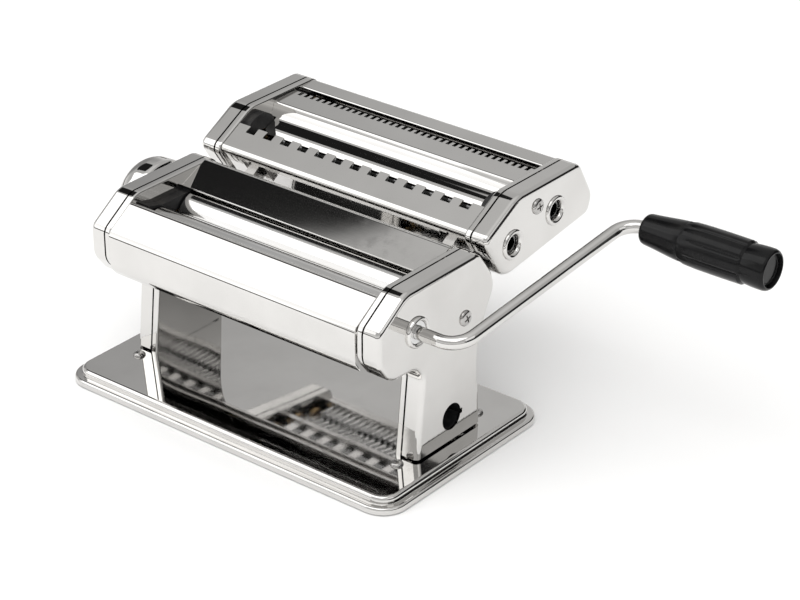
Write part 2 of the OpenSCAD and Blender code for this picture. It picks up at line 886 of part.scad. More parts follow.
module cutter_bushes() {
    color("darkgoldenrod") union() {
        for (p = [wide_axis, fine_axis]) {
            flanged_bush(throat_x - 1.2, flange_x, drive_journal_r + fit_gap, 7, 8.4, p);
            mirror_left() flanged_bush(throat_x - 1.2, flange_x, cutter_journal_r + fit_gap, 7, 8.4, p);
        }
        for (p = [wide_partner, fine_partner]) both_sides() {
            flanged_bush(throat_x - 1.2, flange_x, cutter_journal_r + fit_gap, 6, 7.4, p);
        }
    }
}

// Flared rings round the two drive sockets in the right cover.
module drive_socket_rings() {
    color("gainsboro") for (p = [wide_axis, fine_axis]) translate([side_x, p[0], p[1]]) {
        rotate([0, 90, 0]) rotate_extrude() polygon([
            [5, -sheet_t], [7, -sheet_t], [7, 0], [8, 0], [8, 0.5], [7.3, 1.2], [6.6, 1.2], [5.4, 0.4]
        ]);
    }
}

// A comb under one cutting roller; side is -1 when its bar lies in front of the roller.
module comb(at, side, cut, start, count) {
    bar = [[-9.6, -8.6], [-7.3, -7.7], [-7.3, -11.2], [-9.6, -12.1]];
    tine = [[-7.6, -7.8], [5.4, -7.2], [5.4, -8.5], [-7.6, -9.6]];
    gap = cut - 0.5;
    slab(-throat_x, throat_x, [for (p = bar) head_point(at, -side * p[0], p[1])]);
    for (i = [0:count - 1]) {
        x = start + i * 2 * cut;
        slab(x - gap / 2, x + gap / 2, [for (p = tine) head_point(at, -side * p[0], p[1])]);
    }
}

module wide_combs() {
    color("gainsboro") union() {
        comb(wide_axis, -1, wide_cut, -11 * wide_cut, 12);
        comb(wide_partner, 1, wide_cut, -12 * wide_cut, 13);
    }
}

module fine_combs() {
    color("gainsboro") union() {
        comb(fine_axis, -1, fine_cut, -34 * fine_cut, 35);
        comb(fine_partner, 1, fine_cut, -35 * fine_cut, 36);
    }
}

base_plate();
base_mat();
base_stiffeners();
base_screws();
leg_screws();
left_inner_plate();
right_inner_plate();
left_cover();
right_cover();
leg_sockets();
cover_posts();
cover_screws();
front_cover();
feed_tray();
rear_cover();
tie_rods();
tie_screws();
roller_bushes();
crank_bush();
roller_guards();
scrapers();
cutter_rails();
index_ring();
front_roller();
front_roller_gear();
rear_bearing_blocks();
rear_roller();
rear_roller_gear();
crank_rod();
grip();
grip_end_cap();
regulator_shaft();
regulator_knob();
index_pin();
knob_spring();
cutter_left_inner_plate();
cutter_right_inner_plate();
cutter_left_cover();
cutter_right_cover();
cutter_front_plate();
cutter_mid_plate();
cutter_rear_plate();
cutter_tie_rods();
cutter_tie_screws();
cutter_cover_posts();
cutter_cover_screws();
cutter_bushes();
drive_socket_rings();
cutter_guards();
cutter_hooks();
wide_combs();
fine_combs();
wide_roller_front();
wide_roller_rear();
fine_roller_front();
fine_roller_rear();
wide_gear_front();
wide_gear_rear();
fine_gear_front();
fine_gear_rear();
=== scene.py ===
import json
from math import atan2, cos, hypot, pi, radians, sin, tan

import bmesh
import bpy
from mathutils import Matrix, Vector


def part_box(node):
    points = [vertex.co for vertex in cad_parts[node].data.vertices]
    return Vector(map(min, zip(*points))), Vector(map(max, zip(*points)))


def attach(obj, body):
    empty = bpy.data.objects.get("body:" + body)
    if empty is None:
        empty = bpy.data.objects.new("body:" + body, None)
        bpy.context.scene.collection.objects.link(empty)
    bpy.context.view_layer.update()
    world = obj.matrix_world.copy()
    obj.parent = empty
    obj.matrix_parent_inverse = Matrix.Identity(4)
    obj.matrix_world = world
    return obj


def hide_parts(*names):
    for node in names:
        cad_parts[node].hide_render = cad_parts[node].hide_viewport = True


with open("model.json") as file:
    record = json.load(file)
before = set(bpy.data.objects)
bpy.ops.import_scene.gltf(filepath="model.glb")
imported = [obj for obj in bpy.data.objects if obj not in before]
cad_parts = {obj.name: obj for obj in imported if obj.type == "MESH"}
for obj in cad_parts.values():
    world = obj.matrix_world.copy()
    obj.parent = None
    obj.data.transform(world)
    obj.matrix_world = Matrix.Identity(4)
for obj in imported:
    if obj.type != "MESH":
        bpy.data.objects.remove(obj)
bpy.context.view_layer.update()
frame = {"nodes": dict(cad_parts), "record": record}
scene = bpy.context.scene
mm = 0.001


def span(node):
    # a node's lowest and highest corners, in millimetres
    low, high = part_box(node)
    return low / mm, high / mm


# mesh helpers: everything is drawn in millimetres

def everything(bm):
    return bm.verts[:] + bm.edges[:] + bm.faces[:]


def vertsOf(made):
    return [g for g in made if isinstance(g, bmesh.types.BMVert)]


def bevelEdges(bm, edges, offset, segments, profile=0.5):
    bmesh.ops.bevel(bm, geom=list(edges), offset=offset, offset_type="OFFSET", segments=segments,
                    profile=profile, affect="EDGES", clamp_overlap=False, material=-1)


def alongX(edge):
    step = edge.verts[1].co - edge.verts[0].co
    return abs(step.y) < 1e-4 and abs(step.z) < 1e-4


def outlineFace(bm, outline, x):
    # a flat face across X from [y, z] corners
    verts = [bm.verts.new((x, y, z)) for y, z in outline]
    return bm.faces.new(verts)


def pullAlongX(bm, face, distance):
    made = bmesh.ops.extrude_face_region(bm, geom=[face])["geom"]
    bmesh.ops.translate(bm, verts=vertsOf(made), vec=(distance, 0, 0))


def nearestCorner(edge, outline):
    y, z = edge.verts[0].co.y, edge.verts[0].co.z
    gaps = [hypot(y - p[0], z - p[1]) for p in outline]
    return gaps.index(min(gaps)) if min(gaps) < 1e-3 else None


def roundCorners(bm, outline, cuts, segments):
    # each corner's edge is rounded by its own cut
    for size in sorted(set(cuts)):
        picked = []
        for edge in bm.edges:
            if alongX(edge):
                corner = nearestCorner(edge, outline)
                if corner is not None and cuts[corner] == size:
                    picked.append(edge)
        bevelEdges(bm, picked, size, segments)


def cutAcross(bm, faces, point, normal):
    geom = set(faces)
    for face in faces:
        geom.update(face.edges)
        geom.update(face.verts)
    made = bmesh.ops.bisect_plane(bm, geom=list(geom), plane_co=point, plane_no=normal, dist=1e-5)
    return [f for f in made["geom"] if isinstance(f, bmesh.types.BMFace)]


def flatFaces(bm, x):
    return [f for f in bm.faces if abs(f.normal.x) > 0.999 and abs(f.calc_center_median().x - x) < 1e-3]


def framePatch(bm, x, y0, y1, z0, z1):
    # splits the flat face at x that holds the box, so that one face fills it, and returns that face
    middle = Vector((x, (y0 + y1) / 2, (z0 + z1) / 2))

    def holder():
        return [f for f in flatFaces(bm, x) if bmesh.geometry.intersect_face_point(f, middle)]

    for point, normal in (((x, y0, 0), (0, 1, 0)), ((x, y1, 0), (0, 1, 0)),
                          ((x, 0, z0), (0, 0, 1)), ((x, 0, z1), (0, 0, 1))):
        cutAcross(bm, holder(), point, normal)
    return holder()[0]


def punchRound(bm, x, centre, radius, notch=None, margin=2.2):
    # a round opening: a square patch, its rim moved out to a circle, and its face removed
    y, z = centre
    reach = radius + margin
    patch = framePatch(bm, x, y - reach, y + reach, z - reach, z + reach)
    edges = list(patch.edges)
    bmesh.ops.subdivide_edges(bm, edges=edges, cuts=11, use_grid_fill=False)
    bmesh.ops.inset_region(bm, faces=[patch], thickness=margin * 0.5, use_even_offset=True)
    rim = sorted(patch.verts, key=lambda v: atan2(v.co.z - z, v.co.y - y))
    start = rim.index(min(rim, key=lambda v: abs(atan2(v.co.z - z, v.co.y - y))))
    count = len(rim)
    for i in range(count):
        angle = 2 * pi * i / count
        vert = rim[(start + i) % count]
        vert.co = (x, y + radius * cos(angle), z + radius * sin(angle))
        if notch:
            turned = (angle + pi) % (2 * pi) - pi
            half, depth = notch
            edge = atan2(half, radius)
            if abs(turned) < edge * 0.9:
                side = -1 if turned < 0 else 1 if turned > 0 else 0
                vert.co = (x, y + radius + depth, z + side * half)
            elif abs(turned) < edge * 1.6:
                side = -1 if turned < 0 else 1
                vert.co = (x, y + radius * cos(edge), z + side * half)
    bmesh.ops.delete(bm, geom=[patch], context="FACES_ONLY")


def smoothSplit(bm, sharpAngle):
    for face in bm.faces:
        face.smooth = True
    for edge in bm.edges:
        edge.smooth = edge.is_manifold and edge.calc_face_angle(0) < radians(sharpAngle)


def addPiece(name, bm, material, body, replaced, wall=None, rim=None, sharpAngle=32):
    # turns a bmesh into a piece in metres that rides on its body
    bmesh.ops.scale(bm, vec=(mm, mm, mm), verts=bm.verts[:])
    bmesh.ops.remove_doubles(bm, verts=bm.verts[:], dist=2e-7)
    bmesh.ops.recalc_face_normals(bm, faces=bm.faces[:])
    smoothSplit(bm, sharpAngle)
    mesh = bpy.data.meshes.new(name)
    bm.to_mesh(mesh)
    bm.free()
    mesh.materials.append(material)
    piece = bpy.data.objects.new(name, mesh)
    scene.collection.objects.link(piece)
    if wall:
        shell = piece.modifiers.new("wall", "SOLIDIFY")
        shell.thickness = wall * mm
        shell.offset = -1.0
    if rim:
        rounding = piece.modifiers.new("rim", "BEVEL")
        rounding.width = rim * mm
        rounding.segments = 2
        rounding.limit_method = "ANGLE"
        rounding.angle_limit = radians(50)
        rounding.harden_normals = False
    evened = piece.modifiers.new("evened", "WEIGHTED_NORMAL")
    evened.keep_sharp = True
    evened.weight = 80
    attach(piece, body)
    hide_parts(*replaced)
    return piece


def spunProfile(bm, profile, centre, steps=64):
    # turns [x, r] points about the X axis through centre
    verts = [bm.verts.new((x, centre[0], centre[1] + r)) for x, r in profile]
    edges = [bm.edges.new((a, b)) for a, b in zip(verts, verts[1:])]
    bmesh.ops.spin(bm, geom=verts + edges, cent=(0, centre[0], centre[1]), axis=(1, 0, 0), dvec=(0, 0, 0),
                   angle=2 * pi, steps=steps, use_merge=True, use_duplicate=False)
    bmesh.ops.remove_doubles(bm, verts=bm.verts[:], dist=1e-4)
    bmesh.ops.dissolve_degenerate(bm, dist=1e-5, edges=bm.edges[:])


def mirrored(bm):
    # flips the drawing to the other side of the machine
    bmesh.ops.scale(bm, vec=(-1, 1, 1), verts=bm.verts[:])
    bmesh.ops.reverse_faces(bm, faces=bm.faces[:])


def carve(piece, cutter):
    # takes the cutter bmesh, in millimetres, out of a piece for good
    bmesh.ops.scale(cutter, vec=(mm, mm, mm), verts=cutter.verts[:])
    mesh = bpy.data.meshes.new("cutter")
    cutter.to_mesh(mesh)
    cutter.free()
    tool = bpy.data.objects.new("cutter", mesh)
    scene.collection.objects.link(tool)
    step = piece.modifiers.new("carve", "BOOLEAN")
    step.object = tool
    step.operation = "DIFFERENCE"
    step.solver = "EXACT"
    step.use_self = True
    while piece.modifiers[0] != step:
        piece.modifiers.move(list(piece.modifiers).index(step), 0)
    others = [m for m in piece.modifiers if m != step]
    for m in others:
        m.show_viewport = False
    ready = piece.evaluated_get(bpy.context.evaluated_depsgraph_get())
    carved = bpy.data.meshes.new_from_object(ready)
    piece.modifiers.remove(step)
    for m in others:
        m.show_viewport = True
    piece.data = carved
    bpy.data.objects.remove(tool)
    bm = bmesh.new()
    bm.from_mesh(carved)
    smoothSplit(bm, 32)
    bm.to_mesh(carved)
    bm.free()


# effects shared by the finishes

def newGroup(name, inputs, outputs):
    tree = bpy.data.node_groups.new(name, "ShaderNodeTree")
    for label, value in inputs:
        socket = tree.interface.new_socket(name=label, in_out="INPUT", socket_type="NodeSocketFloat")
        socket.default_value = value
    for label in outputs:
        tree.interface.new_socket(name=label, in_out="OUTPUT", socket_type="NodeSocketFloat")
    return tree, tree.nodes.new("NodeGroupInput"), tree.nodes.new("NodeGroupOutput")


def mathNode(tree, operation, first, second):
    node = tree.nodes.new("ShaderNodeMath")
    node.operation = operation
    for i, value in enumerate((first, second)):
        if isinstance(value, (int, float)):
            node.inputs[i].default_value = value
        else:
            tree.links.new(value, node.inputs[i])
    return node.outputs[0]


def noiseNode(tree, vector, scale, detail, roughness=0.55):
    node = tree.nodes.new("ShaderNodeTexNoise")
    node.inputs["Detail"].default_value = detail
    node.inputs["Roughness"].default_value = roughness
    tree.links.new(vector, node.inputs["Vector"])
    if isinstance(scale, (int, float)):
        node.inputs["Scale"].default_value = scale
    else:
        tree.links.new(scale, node.inputs["Scale"])
    return node.outputs["Fac"]


def rangeNode(tree, value, low, high, toLow=0.0, toHigh=1.0, smooth=True):
    node = tree.nodes.new("ShaderNodeMapRange")
    node.interpolation_type = "SMOOTHSTEP" if smooth else "LINEAR"
    for label, number in (("From Min", low), ("From Max", high), ("To Min", toLow), ("To Max", toHigh)):
        node.inputs[label].default_value = number
    tree.links.new(value, node.inputs["Value"])
    return node.outputs["Result"]


def stretchNode(tree, vector, scale):
    node = tree.nodes.new("ShaderNodeMapping")
    node.inputs["Scale"].default_value = scale
    tree.links.new(vector, node.inputs["Vector"])
    return node.outputs["Vector"]


# hand marks: broad smears with finer breakup, 0 where clean and 1 where dull
smears, smearsIn, smearsOut = newGroup("handMarks", [("Size", 22.0), ("Breakup", 160.0)], ["Marks", "Drift"])
place = smears.nodes.new("ShaderNodeTexCoord").outputs["Object"]
broad = noiseNode(smears, place, smearsIn.outputs["Size"], 3.0)
fine = noiseNode(smears, place, smearsIn.outputs["Breakup"], 4.0, 0.65)
smeared = rangeNode(smears, broad, 0.48, 0.72)
broken = rangeNode(smears, fine, 0.35, 0.75)
mixed = mathNode(smears, "MULTIPLY", smeared, broken)
smears.links.new(mixed, smearsOut.inputs["Marks"])
smears.links.new(broad, smearsOut.inputs["Drift"])

# polishing: a slow ripple in the sheet, and hairlines left by the wheel
polish, polishIn, polishOut = newGroup("polishing", [("Ripple", 14.0), ("Hairline", 900.0)],
                                       ["Wave", "Lines"])
place = polish.nodes.new("ShaderNodeTexCoord").outputs["Object"]
polish.links.new(noiseNode(polish, place, polishIn.outputs["Ripple"], 1.0, 0.4), polishOut.inputs["Wave"])
drawn = stretchNode(polish, place, (0.02, 1.0, 1.0))
polish.links.new(noiseNode(polish, drawn, polishIn.outputs["Hairline"], 3.0, 0.7), polishOut.inputs["Lines"])

# moulded skin: fine sparkle grain of a moulding tool
skin, skinIn, skinOut = newGroup("mouldedSkin", [("Grain", 1500.0)], ["Height"])
place = skin.nodes.new("ShaderNodeTexCoord").outputs["Object"]
skin.links.new(noiseNode(skin, place, skinIn.outputs["Grain"], 2.0, 0.6), skinOut.inputs["Height"])

# settled dust and oil, thicker on faces that look up
settled, settledIn, settledOut = newGroup("settled", [("Patch", 60.0)], ["Film"])
place = settled.nodes.new("ShaderNodeTexCoord").outputs["Object"]
geometry = settled.nodes.new("ShaderNodeNewGeometry")
split = settled.nodes.new("ShaderNodeSeparateXYZ")
settled.links.new(geometry.outputs["Normal"], split.inputs[0])
upward = rangeNode(settled, split.outputs["Z"], 0.1, 0.9)
patchy = rangeNode(settled, noiseNode(settled, place, settledIn.outputs["Patch"], 4.0, 0.6), 0.42, 0.7)
settled.links.new(mathNode(settled, "MULTIPLY", upward, patchy), settledOut.inputs["Film"])


# finishes

def blankMaterial(name):
    material = bpy.data.materials.new(name)
    material.use_nodes = True
    tree = material.node_tree
    shader = tree.nodes["Principled BSDF"]
    return material, tree, shader


def useGroup(tree, group, values):
    node = tree.nodes.new("ShaderNodeGroup")
    node.node_tree = group
    for label, value in values.items():
        node.inputs[label].default_value = value
    return node


def colourMix(tree, mask, first, second):
    node = tree.nodes.new("ShaderNodeMix")
    node.data_type = "RGBA"
    node.inputs["A"].default_value = (*first, 1)
    node.inputs["B"].default_value = (*second, 1)
    tree.links.new(mask, node.inputs["Factor"])
    return node.outputs["Result"]


def bumpNode(tree, height, strength, distance, below=None):
    node = tree.nodes.new("ShaderNodeBump")
    node.inputs["Strength"].default_value = strength
    node.inputs["Distance"].default_value = distance
    tree.links.new(height, node.inputs["Height"])
    if below:
        tree.links.new(below, node.inputs["Normal"])
    return node.outputs["Normal"]


def metalFinish(name, look):
    material, tree, shader = blankMaterial(name)
    marks = useGroup(tree, smears, {"Size": look["markSize"], "Breakup": look["markSize"] * 8})
    wheel = useGroup(tree, polish, {"Ripple": look["ripple"], "Hairline": look["hairline"]})
    tint = rangeNode(tree, marks.outputs["Drift"], 0.3, 0.7)
    tree.links.new(colourMix(tree, tint, look["colour"], look["shade"]), shader.inputs["Base Color"])
    dull = mathNode(tree, "MULTIPLY", marks.outputs["Marks"], look["markRough"])
    lines = mathNode(tree, "MULTIPLY", wheel.outputs["Lines"], look["lineRough"])
    rough = mathNode(tree, "ADD", mathNode(tree, "ADD", dull, lines), look["rough"])
    tree.links.new(rough, shader.inputs["Roughness"])
    wave = bumpNode(tree, wheel.outputs["Wave"], 1.0, look["waveDepth"])
    hair = bumpNode(tree, wheel.outputs["Lines"], look["lineBump"], 0.00002, wave)
    tree.links.new(hair, shader.inputs["Normal"])
    shader.inputs["Metallic"].default_value = 1.0
    return material


def plasticFinish(name, look):
    material, tree, shader = blankMaterial(name)
    marks = useGroup(tree, smears, {"Size": 30.0, "Breakup": 260.0})
    grain = useGroup(tree, skin, {"Grain": look["grain"]})
    dust = useGroup(tree, settled, {"Patch": 90.0})
    tree.links.new(colourMix(tree, dust.outputs["Film"], look["colour"], look["dusty"]),
                   shader.inputs["Base Color"])
    dull = mathNode(tree, "MULTIPLY", marks.outputs["Marks"], 0.16)
    tree.links.new(mathNode(tree, "ADD", dull, look["rough"]), shader.inputs["Roughness"])
    tree.links.new(bumpNode(tree, grain.outputs["Height"], look["bump"], 0.00005), shader.inputs["Normal"])
    shader.inputs["IOR"].default_value = 1.49
    shader.inputs["Specular IOR Level"].default_value = look["sheen"]
    return material


sheetLook = {"colour": (0.71, 0.70, 0.685), "shade": (0.665, 0.655, 0.64), "rough": 0.03, "markSize": 26.0,
             "markRough": 0.05, "lineRough": 0.02, "ripple": 13.0, "hairline": 700.0, "waveDepth": 0.00022,
             "lineBump": 0.02}
plateLook = dict(sheetLook, colour=(0.66, 0.65, 0.64), shade=(0.60, 0.59, 0.58), rough=0.12, lineRough=0.12,
                 lineBump=0.10, waveDepth=0.0001)
rollerLook = dict(sheetLook, colour=(0.72, 0.72, 0.72), rough=0.06, lineRough=0.06, waveDepth=0.00004)
cutterLook = dict(rollerLook, colour=(0.24, 0.24, 0.24), shade=(0.17, 0.17, 0.17), rough=0.14)
rodLook = dict(sheetLook, waveDepth=0.00003, rough=0.035)
knobLook = dict(sheetLook, waveDepth=0.00005, rough=0.03)
boltLook = dict(sheetLook, colour=(0.50, 0.49, 0.48), shade=(0.42, 0.41, 0.40), rough=0.14, lineRough=0.08,
                waveDepth=0.00002)
gearLook = dict(sheetLook, colour=(0.30, 0.30, 0.31), shade=(0.20, 0.19, 0.18), rough=0.30, markRough=0.2,
                waveDepth=0.00002)
bronzeLook = dict(sheetLook, colour=(0.62, 0.45, 0.24), shade=(0.46, 0.32, 0.16), rough=0.32, markRough=0.15,
                  waveDepth=0.00002)
gripLook = {"colour": (0.006, 0.006, 0.0065), "dusty": (0.010, 0.0098, 0.0095), "rough": 0.16,
            "grain": 1300.0, "bump": 0.03, "sheen": 0.20}
darkLook = {"colour": (0.010, 0.010, 0.011), "dusty": (0.030, 0.028, 0.026), "rough": 0.42, "grain": 1900.0,
            "bump": 0.25, "sheen": 0.35}
rubberLook = {"colour": (0.035, 0.035, 0.036), "dusty": (0.09, 0.088, 0.084), "rough": 0.62, "grain": 900.0,
              "bump": 0.5, "sheen": 0.4}

finishes = {
    "polished_sheet": metalFinish("polishedSheet", sheetLook),
    "plate_steel": metalFinish("plateSteel", plateLook),
    "roller_steel": metalFinish("groundRoller", rollerLook),
    "cutter_steel": metalFinish("oiledCutter", cutterLook),
    "chromed_rod": metalFinish("chromedRod", rodLook),
    "knob_chrome": metalFinish("knobChrome", knobLook),
    "fastener_steel": metalFinish("zincFastener", boltLook),
    "gear_steel": metalFinish("oiledGear", gearLook),
    "bush_bronze": metalFinish("sinteredBronze", bronzeLook),
    "grip_plastic": plasticFinish("gripPlastic", gripLook),
    "dark_plastic": plasticFinish("darkPlastic", darkLook),
    "mat_rubber": plasticFinish("matRubber", rubberLook),
}
for part in frame["record"]["subparts"]:
    holder = frame["nodes"][part["node"]]
    holder.data.materials.clear()
    holder.data.materials.append(finishes[part["material_slot"]])
print("finishes ready:", len(finishes))


# cheeks: covers and inner plates

cheek = {
    "outline": [(-24.82, -6), (28.93, -6), (25.2, 50), (30.1, 65.1), (38.8, 82.2), (36.3, 90), (25.5, 105),
                (-32, 105), (-52.3, 91.2), (-52.3, 74.2), (-42.7, 61.5), (-24.3, 60.7), (-18.3, 54.2)],
    "cuts": [0.6, 0.6, 8, 7, 3.6, 3, 4, 3.5, 3, 3, 5, 4, 3],
    "trimAt": 8.0,
}
headCheek = {
    "outline": [(50.2, 82.6), (117.4, 91.6), (120.8, 101.5), (108.6, 123.1), (55.8, 123.1), (28.6, 108.2),
                (44, 84.4)],
    "cuts": [2.6, 3.4, 3.4, 4.5, 4, 5, 2.6],
    "trimAt": None,
}
coverLook = {"wall": 1.2, "shoulder": 2.8, "shoulderSteps": 6, "cornerSteps": 6, "lift": 1.2}
plateRim = {"wall": 1.6, "shoulder": 1.1, "shoulderSteps": 4, "cornerSteps": 6, "lipRounding": 0.45,
            "lift": 0.0}


def drawPan(shape, faceX, openX, sizes, holes):
    # a pan with its flat face at faceX, its rim reaching back to openX, and round openings in the face
    bm = bmesh.new()
    face = outlineFace(bm, shape["outline"], openX)
    pullAlongX(bm, face, faceX - openX)
    bmesh.ops.recalc_face_normals(bm, faces=bm.faces[:])
    roundCorners(bm, shape["outline"], shape["cuts"], sizes["cornerSteps"])
    rimEdges = [e for e in bm.edges if all(abs(v.co.x - faceX) < 1e-4 for v in e.verts)]
    bevelEdges(bm, rimEdges, sizes["shoulder"], sizes["shoulderSteps"])
    back = [f for f in bm.faces if all(abs(v.co.x - openX) < 1e-4 for v in f.verts)]
    bmesh.ops.delete(bm, geom=back, context="FACES")
    if shape["trimAt"]:
        bmesh.ops.bisect_plane(bm, geom=everything(bm), plane_co=(0, 0, shape["trimAt"] + sizes["lift"]),
                               plane_no=(0, 0, -1), clear_outer=True)
    bm.normal_update()
    for hole in holes:
        if hole.get("box"):
            patch = framePatch(bm, faceX, *hole["box"])
            bmesh.ops.delete(bm, geom=[patch], context="FACES_ONLY")
        else:
            punchRound(bm, faceX, hole["at"], hole["r"], hole.get("notch"), hole.get("margin", 2.0))
    return bm


coverLow, coverHigh = span("right_cover")
headLow, headHigh = span("cutter_right_cover")
plateLow = span("right_inner_plate")[0]
flangeX = span("cutter_right_inner_plate")[1].x
throatX = plateLow.x
rollerAxis = {"front": (-23.6, 81.7), "rear": (4.0, 81.7)}
cutterAxis = {"wideFront": (52, 98.8), "wideRear": (68.2323, 101.1392), "fineFront": (87.6, 104.2),
              "fineRear": (103.8323, 106.5392)}
legHole = {"at": (4.0, 22.5), "r": 7.2, "notch": (1.4, 1.3), "margin": 2.6}

sides = {
    "Right": {"mirror": False, "holes": [legHole, {"at": rollerAxis["front"], "r": 7.4}],
              "headHoles": [{"at": cutterAxis["wideFront"], "r": 7.0, "margin": 1.2},
                            {"at": cutterAxis["fineFront"], "r": 7.0, "margin": 1.2}]},
    "Left": {"mirror": True, "holes": [legHole, {"at": rollerAxis["rear"], "r": 5.0}], "headHoles": []},
}
for side, way in sides.items():
    label = side.lower()
    bm = drawPan(cheek, coverHigh.x, coverLow.x, coverLook, way["holes"])
    if way["mirror"]:
        mirrored(bm)
    addPiece("cover" + side, bm, finishes["polished_sheet"], "machine",
             [label + "_cover"], wall=coverLook["wall"])
    bm = drawPan(headCheek, headHigh.x, headLow.x, coverLook, way["headHoles"])
    if way["mirror"]:
        mirrored(bm)
    addPiece("headCover" + side, bm, finishes["polished_sheet"], "cutting_head",
             ["cutter_" + label + "_cover"], wall=coverLook["wall"])
    plateHoles = [{"at": rollerAxis["front"], "r": 9.0},
                  {"box": (-4.2, 16.4, 75.4, 88.0)}]
    bm = drawPan(cheek, throatX, flangeX, plateRim, plateHoles)
    foot = bmesh.ops.create_cube(bm, size=1.0)["verts"]
    footSize = {"x": (81.0, 93.0), "y": (-20.5, 25.0), "z": (8.0, 9.6)}
    bmesh.ops.scale(bm, vec=[footSize[a][1] - footSize[a][0] for a in "xyz"], verts=foot)
    bmesh.ops.translate(bm, vec=[sum(footSize[a]) / 2 for a in "xyz"], verts=foot)
    if way["mirror"]:
        mirrored(bm)
    addPiece("cheekPlate" + side, bm, finishes["polished_sheet"], "machine",
             [label + "_inner_plate"], wall=plateRim["wall"], rim=plateRim["lipRounding"])
    headPlateHoles = [{"at": cutterAxis["wideFront"], "r": 7.0, "margin": 1.2},
                      {"at": cutterAxis["fineFront"], "r": 7.0, "margin": 1.2},
                      {"at": (68.23, 101.14), "r": 6.0, "margin": 1.2},
                      {"at": (103.83, 106.54), "r": 6.0, "margin": 1.2}]
    bm = drawPan(headCheek, throatX, flangeX, plateRim, headPlateHoles)
    if way["mirror"]:
        mirrored(bm)
    addPiece("headPlate" + side, bm, finishes["polished_sheet"], "cutting_head",
             ["cutter_" + label + "_inner_plate"], wall=plateRim["wall"], rim=plateRim["lipRounding"])
print("cheeks ready")


# folded sheets between the cheeks

def drawSheet(path, folds, reach, steps=5):
    # a folded sheet: an open path in [y, z] pulled across the machine, its folds rounded
    bm = bmesh.new()
    verts = [bm.verts.new((-reach, y, z)) for y, z in path]
    edges = [bm.edges.new((a, b)) for a, b in zip(verts, verts[1:])]
    made = bmesh.ops.extrude_edge_only(bm, edges=edges)["geom"]
    bmesh.ops.translate(bm, vec=(2 * reach, 0, 0), verts=vertsOf(made))
    bmesh.ops.recalc_face_normals(bm, faces=bm.faces[:])
    for corner, size in folds.items():
        picked = [e for e in bm.edges if alongX(e) and nearestCorner(e, path) == corner]
        bevelEdges(bm, picked, size, steps)
    bm.normal_update()
    return bm


def liftPoint(n, s):
    # a point given out of the machine and up the slope that the head slides on
    angle = radians(123.1)
    return (cos(angle - pi / 2) * n + cos(angle) * s, sin(angle - pi / 2) * n + sin(angle) * s)


def slotRow(bm, centres, width, plane, depthNormal, region):
    # opens a row of slots in a flat sheet; region says which faces lie in the slots' band
    for x in centres:
        for edgeX in (x - width / 2, x + width / 2):
            cutAcross(bm, bm.faces[:], (edgeX, 0, 0), (1, 0, 0))
    cutAcross(bm, bm.faces[:], plane, depthNormal)
    gone = [f for f in bm.faces if region(f.calc_center_median())
            and any(abs(f.calc_center_median().x - x) < width / 2 for x in centres)]
    bmesh.ops.delete(bm, geom=gone, context="FACES")


# the guide over the rear wide roller keeps clear of its discs
shieldR = 10.9
shieldY, shieldZ = cutterAxis["wideRear"]
shieldArc = [(shieldY + shieldR * cos(radians(a)), shieldZ + shieldR * sin(radians(a)))
             for a in range(100, 141, 8)]
sheets = {
    "frontCover": {"node": "front_cover", "body": "machine", "wall": 1.0,
                   "path": [(-29.5, 97.3), (-35.9, 101.9), (-53.6, 90.4), (-53.2, 71.2), (-49.5, 66.6)],
                   "folds": {1: 1.8, 2: 3.4, 3: 2.8}},
    "feedTray": {"node": "feed_tray", "body": "machine", "wall": 0.9,
                 "path": [(22.2, 104.6), (19.4, 106), (1.5, 97.5)], "folds": {1: 1.0}},
    "rearCover": {"node": "rear_cover", "body": "machine", "wall": 0.9,
                  "path": [(25.5, 64), (29.5, 66.2), liftPoint(77, 49), liftPoint(77, 73.5)],
                  "folds": {1: 1.6, 2: 3.0}},
    "headFrontPlate": {"node": "cutter_front_plate", "body": "cutting_head", "wall": 1.0,
                       "path": [(46.9, 117.2), liftPoint(84.8, 74), liftPoint(84.8, 54)], "folds": {1: 3.2},
                       "slots": {"centres": [11.8 * i for i in range(-6, 7)], "width": 5.9,
                                 "plane": (0, 43.0, 0), "normal": (0, 1, 0), "region": lambda c: c.y > 43.0}},
    "headMidPlate": {"node": "cutter_mid_plate", "body": "cutting_head", "wall": 0.9,
                     "path": [(91.4, 120.8), (74.2, 120.4), (72.9, 116.2), (70.0, 112.9)] + shieldArc,
                     "folds": {1: 1.0, 2: 1.9, 3: 1.6}, "tucked": {"x": 76.5, "y": 70.4},
                     "slots": {"centres": [4.2 * i for i in range(-18, 19)], "width": 2.1,
                               "plane": (0, 87.9, 0), "normal": (0, 1, 0), "region": lambda c: c.y > 87.9}},
    "headRearPlate": {"node": "cutter_rear_plate", "body": "cutting_head", "wall": 0.9,
                      "path": [(116.6, 95.8), (119.6, 101.3), (107.2, 122.3), (96.8, 121.4), (96.4, 118)],
                      "folds": {1: 1.6, 2: 1.8, 3: 0.7}},
}
for name, sheet in sheets.items():
    bm = drawSheet(sheet["path"], sheet["folds"], throatX)
    if "slots" in sheet:
        row = sheet["slots"]
        slotRow(bm, row["centres"], row["width"], row["plane"], row["normal"], row["region"])
    if "tucked" in sheet:
        # the guide's curved part is narrower than its top, to pass between the end guards
        tuck = sheet["tucked"]
        for x in (-tuck["x"], tuck["x"]):
            cutAcross(bm, bm.faces[:], (x, 0, 0), (1, 0, 0))
        cutAcross(bm, bm.faces[:], (0, tuck["y"], 0), (0, 1, 0))
        corners = [f for f in bm.faces if abs(f.calc_center_median().x) > tuck["x"]
                   and f.calc_center_median().y < tuck["y"]]
        bmesh.ops.delete(bm, geom=corners, context="FACES")
    addPiece(name, bm, finishes["polished_sheet"], sheet["body"], [sheet["node"]],
             wall=sheet["wall"], rim=0.2, sharpAngle=40)
print("sheets ready")


# base

